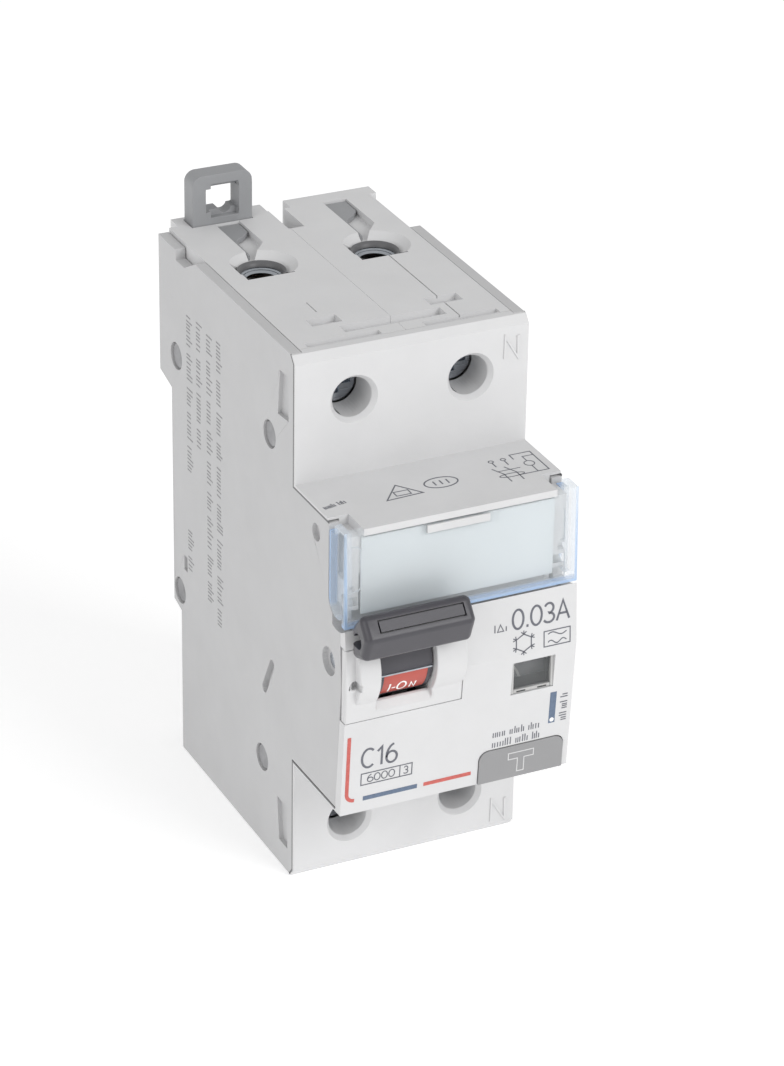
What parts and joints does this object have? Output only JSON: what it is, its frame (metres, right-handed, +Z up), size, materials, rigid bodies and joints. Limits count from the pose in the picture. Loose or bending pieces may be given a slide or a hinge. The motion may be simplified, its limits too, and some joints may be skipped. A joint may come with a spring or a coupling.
{
  "type": "residual current circuit breaker",
  "caption": "Narrow rail-mounted residual current breaker with side lever, clear hinged label flap, test button, screw terminals and rail claws.",
  "frame": {"origin": "centre of the rail seat, on the plane that lies on the rail's front face", "axes": "+Z up the device, +X to the right seen from the front, +Y back towards the rail; the lever and label face -Y"},
  "size_m": [0.0356, 0.0739, 0.0907],
  "materials": {
    "front_plastic": "fine satin moulding",
    "side_plastic": "fine satin moulding",
    "housing_plastic": "fine satin moulding",
    "surround_plastic": "fine satin moulding",
    "lever_plastic": "satin",
    "red_band": "satin",
    "green_band": "satin",
    "clear_plastic": "clear, faintly blue",
    "label_card": "printed card",
    "button_plastic": "satin",
    "claw_plastic": "satin",
    "zinc_steel": "zinc plated",
    "spring_steel": "bright wire",
    "copper": "bare copper alloy",
    "bimetal": "rolled strip",
    "flag_plastic": "satin",
    "black_plastic": "satin",
    "fibre": "pressed fibre",
    "core_coating": "epoxy coated",
    "board_laminate": "solder resist"
  },
  "bodies": {
    "casing": {"front_cover": "front_plastic", "left_side_cover": "side_plastic", "right_side_cover": "side_plastic", "breaker_housing": "housing_plastic", "residual_housing": "housing_plastic", "lever_surround": "surround_plastic", "lever_pin": "zinc_steel", "lever_spring": "spring_steel", "test_spring": "spring_steel", "test_contact": "copper", "test_resistor": "black_plastic", "indicator_lens": "clear_plastic", "trip_relay": "black_plastic", "case_rivets": "zinc_steel", "busbar_shutters": "claw_plastic", "phase_in_bar": "copper", "phase_out_bar": "copper", "neutral_in_bar": "copper", "neutral_out_bar": "copper", "phase_fixed_contact": "copper", "neutral_fixed_contact": "copper", "contact_spring": "spring_steel", "latch_plate": "zinc_steel", "magnet_coil": "copper", "magnet_yoke": "zinc_steel", "bimetal_strip": "bimetal", "flexible_braid": "copper", "arc_plates": "zinc_steel", "arc_side_walls": "fibre", "sensor_core": "core_coating", "sensor_winding": "copper", "circuit_board": "board_laminate", "board_parts": "black_plastic"},
    "lever": {"toggle_lever": "lever_plastic", "on_band": "red_band", "off_band": "green_band"},
    "flap": {"label_flap": "clear_plastic", "circuit_label": "label_card"},
    "button": {"test_button": "button_plastic"},
    "top_claw": {"upper_claw": "claw_plastic"},
    "foot_claw": {"lower_claw": "claw_plastic"},
    "link": {"drive_link": "zinc_steel"},
    "phase_arm": {"phase_contact_arm": "copper"},
    "neutral_arm": {"neutral_contact_arm": "copper"},
    "relay_core": {"relay_plunger": "zinc_steel"},
    "flag": {"trip_flag": "flag_plastic"},
    "magnet_core": {"magnet_plunger": "zinc_steel"},
    "phase_in_screw_body": {"phase_in_screw": "zinc_steel"},
    "phase_in_cage_body": {"phase_in_cage": "zinc_steel"},
    "phase_out_screw_body": {"phase_out_screw": "zinc_steel"},
    "phase_out_cage_body": {"phase_out_cage": "zinc_steel"},
    "neutral_in_screw_body": {"neutral_in_screw": "zinc_steel"},
    "neutral_in_cage_body": {"neutral_in_cage": "zinc_steel"},
    "neutral_out_screw_body": {"neutral_out_screw": "zinc_steel"},
    "neutral_out_cage_body": {"neutral_out_cage": "zinc_steel"}
  },
  "joints": [
    {"name": "toggle_hinge", "type": "hinge", "parent": "casing", "child": "lever", "pos_m": [0, -0.0555, 0], "axis": [1, 0, 0], "range_deg": [0, 70]},
    {"name": "flap_hinge", "type": "hinge", "parent": "casing", "child": "flap", "pos_m": [0, -0.058, 0.0104], "axis": [1, 0, 0], "range_deg": [0, 50]},
    {"name": "test_button_slide", "type": "slide", "parent": "casing", "child": "button", "axis": [0, 1, 0], "range_m": [0, 0.0012], "stiffness_N_per_m": 400, "springref_m": -0.0005, "deforming": ["test_spring"]},
    {"name": "upper_claw_slide", "type": "slide", "parent": "casing", "child": "top_claw", "axis": [0, 0, 1], "range_m": [-0.0068, 0]},
    {"name": "lower_claw_slide", "type": "slide", "parent": "casing", "child": "foot_claw", "axis": [0, 0, 1], "range_m": [-0.006, 0]},
    {"name": "link_slide", "type": "slide", "parent": "casing", "child": "link", "axis": [0, 1, 0], "range_m": [0, 0.002]},
    {"name": "phase_arm_hinge", "type": "hinge", "parent": "casing", "child": "phase_arm", "pos_m": [-0.0088, -0.038, -0.004], "axis": [1, 0, 0], "range_deg": [0, 22], "deforming": ["contact_spring"]},
    {"name": "neutral_arm_hinge", "type": "hinge", "parent": "casing", "child": "neutral_arm", "pos_m": [0.006, -0.038, -0.016], "axis": [1, 0, 0], "range_deg": [0, 22]},
    {"name": "relay_plunger_slide", "type": "slide", "parent": "casing", "child": "relay_core", "axis": [0, 0, 1], "range_m": [0, 0.002]},
    {"name": "trip_flag_slide", "type": "slide", "parent": "casing", "child": "flag", "axis": [0, 0, 1], "range_m": [0, 0.007]},
    {"name": "magnet_plunger_slide", "type": "slide", "parent": "casing", "child": "magnet_core", "axis": [0, 0, 1], "range_m": [-0.003, 0]},
    {"name": "phase_in_screw_turn", "type": "hinge", "parent": "casing", "child": "phase_in_screw_body", "pos_m": [-0.0089, -0.036, 0.0332], "axis": [0, 1, 0], "range_deg": [0, 1440]},
    {"name": "phase_in_cage_slide", "type": "slide", "parent": "casing", "child": "phase_in_cage_body", "axis": [0, -1, 0], "range_m": [0, 0.0032]},
    {"name": "phase_out_screw_turn", "type": "hinge", "parent": "casing", "child": "phase_out_screw_body", "pos_m": [-0.0089, -0.036, -0.0342], "axis": [0, 1, 0], "range_deg": [0, 1440]},
    {"name": "phase_out_cage_slide", "type": "slide", "parent": "casing", "child": "phase_out_cage_body", "axis": [0, -1, 0], "range_m": [0, 0.0032]},
    {"name": "neutral_in_screw_turn", "type": "hinge", "parent": "casing", "child": "neutral_in_screw_body", "pos_m": [0.0089, -0.036, 0.0332], "axis": [0, 1, 0], "range_deg": [0, 1440]},
    {"name": "neutral_in_cage_slide", "type": "slide", "parent": "casing", "child": "neutral_in_cage_body", "axis": [0, -1, 0], "range_m": [0, 0.0032]},
    {"name": "neutral_out_screw_turn", "type": "hinge", "parent": "casing", "child": "neutral_out_screw_body", "pos_m": [0.0089, -0.036, -0.0342], "axis": [0, 1, 0], "range_deg": [0, 1440]},
    {"name": "neutral_out_cage_slide", "type": "slide", "parent": "casing", "child": "neutral_out_cage_body", "axis": [0, -1, 0], "range_m": [0, 0.0032]}
  ],
  "couplings": [
    {"joint": "link_slide", "follows": "toggle_hinge", "m_per_rad": 0.0016},
    {"joint": "phase_arm_hinge", "follows": "toggle_hinge", "ratio": 0.3},
    {"joint": "neutral_arm_hinge", "follows": "toggle_hinge", "ratio": 0.3},
    {"joint": "trip_flag_slide", "follows": "relay_plunger_slide", "ratio": 3.5},
    {"joint": "phase_in_screw_turn", "follows": "phase_in_cage_slide", "rad_per_m": 7850},
    {"joint": "phase_out_screw_turn", "follows": "phase_out_cage_slide", "rad_per_m": 7850},
    {"joint": "neutral_in_screw_turn", "follows": "neutral_in_cage_slide", "rad_per_m": 7850},
    {"joint": "neutral_out_screw_turn", "follows": "neutral_out_cage_slide", "rad_per_m": 7850}
  ]
}
